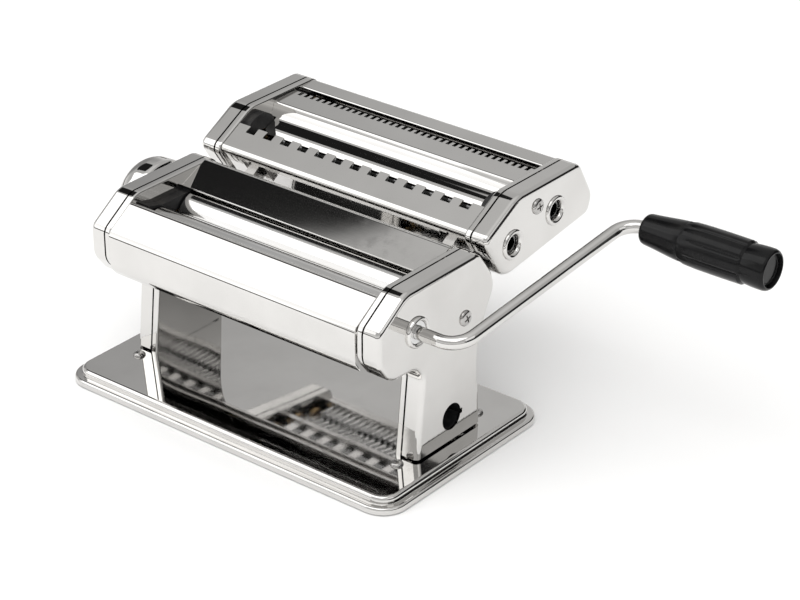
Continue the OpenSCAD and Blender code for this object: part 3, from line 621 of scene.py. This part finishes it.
base = {"w": 219.0, "d": 128.0, "r": 14.0, "lipBottom": 0.6, "lipTop": 4.0, "shoulder": 4.0, "top": 8.0,
        "lipRounding": 1.5, "topRounding": 2.2, "wall": 1.0}


def drawBase():
    bm = bmesh.new()
    bmesh.ops.create_grid(bm, x_segments=1, y_segments=1, size=1.0)
    bmesh.ops.scale(bm, vec=(base["w"] / 2, base["d"] / 2, 1), verts=bm.verts[:])
    bmesh.ops.translate(bm, vec=(0, 0, base["lipBottom"]), verts=bm.verts[:])
    made = bmesh.ops.extrude_face_region(bm, geom=bm.faces[:])["geom"]
    bmesh.ops.translate(bm, vec=(0, 0, base["lipTop"] - base["lipBottom"]), verts=vertsOf(made))
    upright = [e for e in bm.edges if abs(e.verts[0].co.z - e.verts[1].co.z) > 1]
    bevelEdges(bm, upright, base["r"], 14)
    bmesh.ops.recalc_face_normals(bm, faces=bm.faces[:])
    top = [f for f in bm.faces if f.normal.z > 0.99]
    bmesh.ops.inset_region(bm, faces=top, thickness=base["shoulder"], use_even_offset=True)
    raised = bmesh.ops.extrude_face_region(bm, geom=top)["geom"]
    bmesh.ops.translate(bm, vec=(0, 0, base["top"] - base["lipTop"]), verts=vertsOf(raised))
    bmesh.ops.recalc_face_normals(bm, faces=bm.faces[:])
    bottom = [f for f in bm.faces if all(v.co.z < base["lipBottom"] + 0.01 for v in f.verts)]
    buried = [f for f in bm.faces if abs(f.normal.z) > 0.99 and f.calc_area() > 10000
              and abs(f.calc_center_median().z - base["lipTop"]) < 0.01]
    bmesh.ops.delete(bm, geom=bottom + buried, context="FACES")

    def level(z, inset):
        return [e for e in bm.edges if all(abs(v.co.z - z) < 1e-3 for v in e.verts)
                and len(e.link_faces) == 2 and isOuter(e, inset)]

    bevelEdges(bm, level(base["top"], base["shoulder"]), base["topRounding"], 6)
    bevelEdges(bm, level(base["lipTop"], base["shoulder"]), 0.5, 2)
    bevelEdges(bm, level(base["lipTop"], 0.0), base["lipRounding"], 5)
    return bm


def isOuter(edge, inset):
    # true when the edge lies on the base's plan outline moved in by inset
    hw, hd, r = base["w"] / 2 - inset, base["d"] / 2 - inset, base["r"] - inset
    for v in edge.verts:
        x, y = abs(v.co.x), abs(v.co.y)
        if x > hw - r and y > hd - r:
            gap = abs(hypot(x - hw + r, y - hd + r) - r)
        else:
            gap = min(abs(x - hw), abs(y - hd))
        if gap > 0.05:
            return False
    return True


addPiece("basePlate", drawBase(), finishes["polished_sheet"], "machine", ["base_plate"],
         wall=base["wall"])
print("base ready")


# rings and screws on the covers and base

faceX = coverHigh.x
# each outline is [x out of the cover's face, radius]
ringLook = {"socketFlare": [(-1.2, 5.0), (-1.2, 7.0), (0.0, 7.0), (0.0, 8.0), (0.35, 8.0), (0.8, 7.75),
                            (1.1, 7.3), (1.2, 6.9), (1.1, 6.4), (0.8, 5.9), (0.3, 5.4), (-0.6, 5.05),
                            (-1.2, 5.0)],
            "crankFlare": [(-1.8, 6.06), (-1.8, 7.4), (0.0, 7.4), (0.0, 8.2), (0.5, 8.2), (1.1, 8.0),
                           (1.55, 7.6), (1.8, 7.15), (1.75, 6.8), (1.4, 6.4), (0.8, 6.1), (-0.2, 6.06),
                           (-1.8, 6.06)]}


def ringPiece(name, profile, centre, body, replaced):
    bm = bmesh.new()
    spunProfile(bm, [(faceX + x, r) for x, r in profile], centre, 64)
    return addPiece(name, bm, finishes["polished_sheet"], body, replaced, sharpAngle=45)


ringPiece("wideSocketRing", ringLook["socketFlare"], cutterAxis["wideFront"], "cutting_head",
          ["drive_socket_rings"])
ringPiece("fineSocketRing", ringLook["socketFlare"], cutterAxis["fineFront"], "cutting_head",
          ["drive_socket_rings"])
ringPiece("crankRing", ringLook["crankFlare"], rollerAxis["front"], "machine", ["crank_bush"])

screwLook = {"profile": [(-4.0, 0.0), (-4.0, 1.5), (0.0, 1.5), (0.0, 4.2), (0.35, 4.2), (0.75, 4.0),
                         (1.2, 3.5), (1.45, 2.7), (1.6, 1.4), (1.6, 0.0)],
             "headHeight": 1.6, "crossLength": 4.6, "crossWidth": 0.95, "crossDepth": 1.1}


def screwPiece(name, centre, side, turn, body, node):
    bm = bmesh.new()
    spunProfile(bm, [(faceX + x, r) for x, r in screwLook["profile"]], centre, 40)
    if side < 0:
        mirrored(bm)
    piece = addPiece(name, bm, finishes["fastener_steel"], body, [node], sharpAngle=40)
    cutter = bmesh.new()
    barSize = (2 * screwLook["crossDepth"], screwLook["crossLength"], screwLook["crossWidth"])
    for spin in (turn, turn + 90):
        bar = bmesh.ops.create_cube(cutter, size=1.0)["verts"]
        bmesh.ops.scale(cutter, vec=barSize, verts=bar)
        bmesh.ops.rotate(cutter, cent=(0, 0, 0), matrix=Matrix.Rotation(radians(spin), 3, "X"), verts=bar)
        bmesh.ops.translate(cutter, vec=(side * (faceX + screwLook["headHeight"]), *centre), verts=bar)
    carve(piece, cutter)
    return piece


screwPiece("coverScrewRight", (14.1, 73.5), 1, 20, "machine", "cover_screws")
screwPiece("coverScrewLeft", (2.0, 46.0), -1, 35, "machine", "cover_screws")
screwPiece("headScrewRight", (72.1, 112.2), 1, 10, "cutting_head", "cutter_cover_screws")
screwPiece("headScrewLeft", (66.0, 115.2), -1, 50, "cutting_head", "cutter_cover_screws")

baseScrew = {"profile": [(-3.0, 0.0), (-3.0, 2.0), (0.0, 2.0), (0.0, 3.4), (0.6, 3.3), (1.2, 2.9), (1.7, 2.1),
                         (2.0, 1.0), (2.0, 0.0)],
             "spots": [(87.5, -29.7), (87.5, 34.5), (-87.5, -29.7), (-87.5, 34.5)]}
bm = bmesh.new()
for x, y in baseScrew["spots"]:
    verts = [bm.verts.new((x + r, y, base["top"] + z)) for z, r in baseScrew["profile"]]
    edges = [bm.edges.new((a, b)) for a, b in zip(verts, verts[1:])]
    bmesh.ops.spin(bm, geom=verts + edges, cent=(x, y, 0), axis=(0, 0, 1), dvec=(0, 0, 0),
                   angle=2 * pi, steps=28, use_merge=True, use_duplicate=False)
bmesh.ops.remove_doubles(bm, verts=bm.verts[:], dist=1e-4)
addPiece("baseScrews", bm, finishes["fastener_steel"], "machine", ["base_screws"],
         sharpAngle=45)
print("fittings ready")


# rollers

def rollerPiece(name, profile, centre, body, node):
    bm = bmesh.new()
    spunProfile(bm, profile, centre, 96)
    return addPiece(name, bm, finishes["roller_steel"], body, [node], sharpAngle=30)


smoothRoller = {"end": 75.5, "r": 13.5, "rounding": 0.6}


def smoothProfile(journal, leftX, rightX, socket):
    e, r, c = smoothRoller["end"], smoothRoller["r"], smoothRoller["rounding"]
    profile = [(leftX, 0), (leftX, journal - 0.3), (leftX + 0.3, journal), (-e, journal), (-e, r - c),
               (-e + c * 0.3, r - c * 0.3), (-e + c, r), (e - c, r), (e - c * 0.3, r - c * 0.3),
               (e, r - c), (e, journal), (rightX - 0.3, journal), (rightX, journal - 0.3)]
    if socket:
        return profile + [(rightX, 3.6), (rightX - 18, 3.6), (rightX - 18, 0)]
    return profile + [(rightX, 0)]


frontLow, frontHigh = span("front_roller")
rearLow, rearHigh = span("rear_roller")
rollerPiece("frontRoller", smoothProfile(6.0, frontLow.x, frontHigh.x, True), rollerAxis["front"],
            "front_roller", "front_roller")
rollerPiece("rearRoller", smoothProfile(5.0, rearLow.x, rearHigh.x, False), rollerAxis["rear"], "rear_roller",
            "rear_roller")

cutters = {
    "wideRollerFront": {"node": "wide_roller_front", "body": "wide_cutter_front",
                        "at": cutterAxis["wideFront"], "cut": 5.9, "start": -12.5 * 5.9 + 0.1,
                        "count": 13, "driven": True},
    "wideRollerRear": {"node": "wide_roller_rear", "body": "wide_cutter_rear",
                       "at": cutterAxis["wideRear"], "cut": 5.9, "start": -11.5 * 5.9 + 0.1,
                       "count": 12, "driven": False},
    "fineRollerFront": {"node": "fine_roller_front", "body": "fine_cutter_front",
                        "at": cutterAxis["fineFront"], "cut": 2.1, "start": -35.5 * 2.1 + 0.1,
                        "count": 36, "driven": True},
    "fineRollerRear": {"node": "fine_roller_rear", "body": "fine_cutter_rear",
                       "at": cutterAxis["fineRear"], "cut": 2.1, "start": -34.5 * 2.1 + 0.1,
                       "count": 35, "driven": False},
}
disc = {"core": 6.6, "r": 9.4, "end": 76.0, "chamfer": 0.15, "journal": 4.0, "driveJournal": 5.5,
        "socket": 3.6, "depth": 18.0}
for name, cutter in cutters.items():
    low, high = span(cutter["node"])
    profile = [(low.x, 0), (low.x, disc["journal"]), (-disc["end"], disc["journal"]),
               (-disc["end"], disc["core"])]
    for i in range(cutter["count"]):
        x0 = cutter["start"] + i * 2 * cutter["cut"]
        x1 = x0 + cutter["cut"] - 0.2
        k = disc["chamfer"]
        profile += [(x0, disc["core"]), (x0, disc["r"] - k), (x0 + k, disc["r"]), (x1 - k, disc["r"]),
                    (x1, disc["r"] - k), (x1, disc["core"])]
    profile.append((disc["end"], disc["core"]))
    if cutter["driven"]:
        profile += [(disc["end"], disc["driveJournal"]), (high.x, disc["driveJournal"]),
                    (high.x, disc["socket"]), (high.x - disc["depth"], disc["socket"]),
                    (high.x - disc["depth"], 0)]
    else:
        profile += [(disc["end"], disc["journal"]), (high.x, disc["journal"]), (high.x, 0)]
    bm = bmesh.new()
    spunProfile(bm, profile, cutter["at"], 48)
    addPiece(name, bm, finishes["cutter_steel"], cutter["body"], [cutter["node"]],
             sharpAngle=25)
print("rollers ready")


# crank and grip

crank = {"r": 3.5, "angle": 12.16, "start": 79.0, "bendX": 119.7, "lean": 14.3, "throw": 120.6, "bendR": 12.0,
         "bendSteps": 14, "sides": 28, "gripLength": 73.0}
arm = atan2(crank["throw"], crank["lean"])
bendCut = crank["bendR"] * tan(arm / 2)
gripX = crank["bendX"] + crank["lean"] + bendCut + 0.4
gripTurn = Matrix.Rotation(radians(crank["angle"]), 3, "X")
axisPoint = Vector((0, *rollerAxis["front"]))


def ontoCrank(bm):
    # from the crank's own frame, its arm along +Y, to its place on the machine
    bmesh.ops.rotate(bm, cent=(0, 0, 0), matrix=gripTurn, verts=bm.verts[:])
    bmesh.ops.translate(bm, vec=axisPoint, verts=bm.verts[:])


def drawRod():
    bm = bmesh.new()
    ring = bmesh.ops.create_circle(bm, cap_ends=True, segments=crank["sides"], radius=crank["r"])["verts"]
    bmesh.ops.rotate(bm, cent=(0, 0, 0), matrix=Matrix.Rotation(pi / 2, 3, "Y"), verts=ring)
    bmesh.ops.translate(bm, vec=(crank["start"], 0, 0), verts=ring)

    def facesOf(made):
        return [g for g in made if isinstance(g, bmesh.types.BMFace)]

    def straight(faces, step):
        made = bmesh.ops.extrude_face_region(bm, geom=faces)["geom"]
        bmesh.ops.translate(bm, vec=step, verts=vertsOf(made))
        return facesOf(made)

    def bend(faces, centre, angle):
        made = bmesh.ops.spin(bm, geom=faces, cent=centre, axis=(0, 0, 1), dvec=(0, 0, 0), angle=angle,
                              steps=crank["bendSteps"], use_merge=False, use_duplicate=False)["geom_last"]
        return facesOf(made)

    end = bm.faces[:]
    bendStart = crank["bendX"] - bendCut
    end = straight(end, (bendStart - crank["start"], 0, 0))
    end = bend(end, (bendStart, crank["bendR"], 0), arm)
    length = hypot(crank["throw"], crank["lean"]) - 2 * bendCut
    end = straight(end, (length * cos(arm), length * sin(arm), 0))
    far = crank["bendX"] + crank["lean"] + bendCut
    end = bend(end, (far, crank["throw"] - crank["bendR"], 0), -arm)
    straight(end, (crank["gripLength"] - 6, 0, 0))
    ontoCrank(bm)
    return bm


addPiece("crankRod", drawRod(), finishes["chromed_rod"], "crank", ["crank_rod"], sharpAngle=50)

gripShape = {
    "profile": [(0.0, 4.2), (0.0, 6.2), (0.25, 7.1), (0.9, 7.7), (2.2, 8.05), (5.0, 8.3), (9.0, 8.75),
                (13.0, 9.25), (17.0, 9.75), (20.0, 10.05), (22.6, 10.25), (23.6, 10.3), (24.4, 10.6),
                (27.0, 10.75), (31.0, 10.85), (36.0, 10.95), (42.0, 11.0), (48.0, 11.0), (54.0, 10.95),
                (58.6, 10.9), (59.4, 10.6), (60.0, 10.1), (61.0, 10.25), (64.0, 10.55), (68.0, 10.7),
                (70.6, 10.65), (71.8, 10.35), (72.6, 9.8), (73.0, 9.1),
                (72.9, 8.7), (72.3, 8.45), (69.4, 8.4), (69.4, 0.0)],
    "sides": 96, "panels": 8, "panelStart": 23.6, "panelEnd": 59.2, "grooveDepth": 0.75, "grooveHalf": 0.085,
    "panelRise": 0.30,
    "disc": [(69.2, 0.0), (69.2, 8.3), (70.6, 8.3), (71.0, 8.1), (71.15, 7.6), (71.15, 7.0), (70.9, 6.8),
             (70.9, 0.0)],
}


def drawGrip():
    bm = bmesh.new()
    spunProfile(bm, gripShape["profile"], (0, 0), gripShape["sides"])
    sector = 2 * pi / gripShape["panels"]
    for vert in bm.verts:
        x, radius = vert.co.x, hypot(vert.co.y, vert.co.z)
        if radius < 9.5 or not gripShape["panelStart"] < x < gripShape["panelEnd"]:
            continue
        angle = atan2(vert.co.z, vert.co.y)
        off = (angle / sector) % 1.0
        fromGroove = min(off, 1 - off) * sector
        # the panels' near ends are drawn to a shallow arch
        arch = 24.0 + 6.0 * max(0.0, 1 - fromGroove / (sector / 2)) ** 1.5
        groove = max(0.0, 1 - fromGroove / gripShape["grooveHalf"])
        target = radius + gripShape["panelRise"] - gripShape["grooveDepth"] * min(1.0, groove * 1.6)
        if x < arch:
            target = radius - 0.28
        vert.co.y *= target / radius
        vert.co.z *= target / radius
    bmesh.ops.translate(bm, vec=(gripX, crank["throw"], 0), verts=bm.verts[:])
    ontoCrank(bm)
    return bm


addPiece("gripBody", drawGrip(), finishes["grip_plastic"], "grip", ["grip"], sharpAngle=28)
bm = bmesh.new()
spunProfile(bm, gripShape["disc"], (0, 0), 64)
bmesh.ops.translate(bm, vec=(gripX, crank["throw"], 0), verts=bm.verts[:])
ontoCrank(bm)
addPiece("gripDisc", bm, finishes["grip_plastic"], "grip", ["grip_end_cap"], sharpAngle=35)
print("crank ready")


# regulator

knobLow, knobHigh = span("regulator_knob")
knob = {"r": 23.0, "h": knobHigh.x - knobLow.x, "crown": 12.0, "steps": 96, "scoopOffset": 18.5,
        "scoopR": 14.0, "scoopLift": 7.0, "barTurn": 38.0}
bm = bmesh.new()
arc = [(7 + (knob["h"] - 7) * sin(radians(a)), knob["crown"] + (knob["r"] - knob["crown"]) * cos(radians(a)))
       for a in range(0, 85, 6)]
skirt = [(2.6, 0.0), (2.6, 19.0), (0.4, 19.6), (0.0, 20.2), (0.0, 21.8), (0.5, 22.5), (1.4, 22.9),
         (3.0, 23.0)]
knobProfile = skirt + arc + [(knob["h"], 10.5), (knob["h"], 5.0), (knob["h"] - 0.05, 0.0)]
spunProfile(bm, [(knobHigh.x - x, r) for x, r in knobProfile], rollerAxis["rear"], knob["steps"])
knobPiece = addPiece("regulatorKnob", bm, finishes["knob_chrome"], "knob", ["regulator_knob"],
                     sharpAngle=38)
# a finger scoop either side of the knob's bar
scoops = bmesh.new()
for way in (-1, 1):
    ball = bmesh.ops.create_uvsphere(scoops, u_segments=48, v_segments=28, radius=knob["scoopR"])["verts"]
    turned = Matrix.Rotation(radians(knob["barTurn"]), 3, "X") @ Vector((0, way * knob["scoopOffset"], 0))
    hub = Vector((knobLow.x - knob["scoopLift"], *rollerAxis["rear"]))
    bmesh.ops.translate(scoops, vec=turned + hub, verts=ball)
carve(knobPiece, scoops)

ringLow, ringHigh = span("index_ring")
bm = bmesh.new()
spunProfile(bm, [(ringHigh.x, 9.0), (ringHigh.x, 18.9), (ringLow.x + 0.5, 19.0), (ringLow.x + 0.1, 18.7),
                 (ringLow.x, 18.2), (ringLow.x, 9.4), (ringLow.x + 0.4, 9.0), (ringHigh.x, 9.0)],
            rollerAxis["rear"], 80)
addPiece("indexRing", bm, finishes["polished_sheet"], "machine", ["index_ring"],
         sharpAngle=45)
print("regulator ready")


# floor, light and camera

studio = {"floorSize": 14.0, "floorColour": (0.86, 0.86, 0.86)}
bm = bmesh.new()
bmesh.ops.create_grid(bm, x_segments=1, y_segments=1, size=studio["floorSize"] / 2)
mesh = bpy.data.meshes.new("floor")
bm.to_mesh(mesh)
bm.free()
floor = bpy.data.objects.new("floor", mesh)
scene.collection.objects.link(floor)
floorMaterial, _, floorShader = blankMaterial("paleFloor")
floorShader.inputs["Base Color"].default_value = (*studio["floorColour"], 1)
floorShader.inputs["Roughness"].default_value = 0.9
mesh.materials.append(floorMaterial)

softboxes = {
    "overheadBox": {"at": (-0.42, -0.62, 1.3), "aim": (-0.42, -0.6199, 0), "size": (2.3, 1.0), "power": 9.0},
    "frontLeftBox": {"at": (-1.5, -1.3, 0.9), "aim": (0, 0, 0.08), "size": (1.2, 1.2), "power": 3.8},
    "rightBox": {"at": (1.6, -0.2, 1.1), "aim": (0, 0, 0.05), "size": (1.0, 1.0), "power": 1.6},
}
for name, box in softboxes.items():
    light = bpy.data.lights.new(name, "AREA")
    light.shape = "RECTANGLE"
    light.size, light.size_y = box["size"]
    light.energy = box["power"]
    holder = bpy.data.objects.new(name, light)
    holder.location = box["at"]
    holder.rotation_euler = (Vector(box["aim"]) - Vector(box["at"])).to_track_quat("-Z", "Y").to_euler()
    scene.collection.objects.link(holder)

room = bpy.data.worlds.new("studioRoom")
room.use_nodes = True
scene.world = room
tree = room.node_tree
background = tree.nodes["Background"]
direction = tree.nodes.new("ShaderNodeTexCoord").outputs["Generated"]
parts = tree.nodes.new("ShaderNodeSeparateXYZ")
tree.links.new(direction, parts.inputs[0])
heights = tree.nodes.new("ShaderNodeValToRGB")
# [sine of the elevation, brightness]: a thin dark line where the floor ends, bright above it
stops = {"floorLine": (0.0, 0.02), "lineTop": (0.055, 0.02), "low": (0.10, 0.86), "eye": (0.20, 0.84),
         "back": (0.42, 0.58), "high": (0.75, 0.52), "top": (1.0, 0.8)}
ramp = heights.color_ramp
while len(ramp.elements) < len(stops):
    ramp.elements.new(0.5)
for element, (position, level) in zip(ramp.elements, stops.values()):
    element.position = position
    element.color = (level, level * 0.995, level * 0.985, 1)
tree.links.new(parts.outputs["Z"], heights.inputs["Fac"])
shade = heights.outputs["Color"]
darkCards = {
    "overheadGap": {"way": (-0.66, 0.24, 0.71), "inner": 10.9, "outer": 11.7, "level": 0.015},
    "rightWall": {"way": (0.85, 0.52, 0.0), "inner": 50.0, "outer": 66.0, "level": 0.02,
                  "below": (0.40, 0.52)},
    "leftBack": {"way": (-0.85, 0.45, 0.28), "inner": 10.0, "outer": 26.0, "level": 0.30},
}
for card in darkCards.values():
    dot = tree.nodes.new("ShaderNodeVectorMath")
    dot.operation = "DOT_PRODUCT"
    tree.links.new(direction, dot.inputs[0])
    dot.inputs[1].default_value = Vector(card["way"]).normalized()
    mask = rangeNode(tree, dot.outputs["Value"], cos(radians(card["outer"])), cos(radians(card["inner"])))
    if "below" in card:
        low = rangeNode(tree, parts.outputs["Z"], *card["below"], 1.0, 0.0)
        mask = mathNode(tree, "MULTIPLY", mask, low)
    mix = tree.nodes.new("ShaderNodeMix")
    mix.data_type = "RGBA"
    tree.links.new(mask, mix.inputs["Factor"])
    tree.links.new(shade, mix.inputs["A"])
    mix.inputs["B"].default_value = (card["level"],) * 3 + (1,)
    shade = mix.outputs["Result"]
seen = tree.nodes.new("ShaderNodeLightPath").outputs["Is Camera Ray"]
backdrop = tree.nodes.new("ShaderNodeMix")
backdrop.data_type = "RGBA"
tree.links.new(seen, backdrop.inputs["Factor"])
tree.links.new(shade, backdrop.inputs["A"])
backdrop.inputs["B"].default_value = (0.93, 0.93, 0.93, 1)
tree.links.new(backdrop.outputs["Result"], background.inputs["Color"])
bounce = rangeNode(tree, tree.nodes["Light Path"].outputs["Is Diffuse Ray"], 0.0, 1.0, 1.0, 2.1)
tree.links.new(bounce, background.inputs["Strength"])

scene.view_settings.view_transform = "Standard"
scene.view_settings.look = "None"
scene.view_settings.exposure = 0.0

view = {"target": (0.0, 0.0808, 0.0244), "distance": 1.371, "turn": 39.0, "rise": 27.9, "lens": 115.2}
camera = bpy.data.objects.new("camera", bpy.data.cameras.new("camera"))
camera.data.lens = view["lens"]
camera.data.sensor_width = 36.0
camera.data.clip_start = 0.05
camera.rotation_euler = (radians(90 - view["rise"]), 0, radians(view["turn"]))
back = camera.rotation_euler.to_matrix() @ Vector((0, 0, 1))
camera.location = Vector(view["target"]) + back * view["distance"]
scene.collection.objects.link(camera)
scene.camera = camera
print("studio ready")
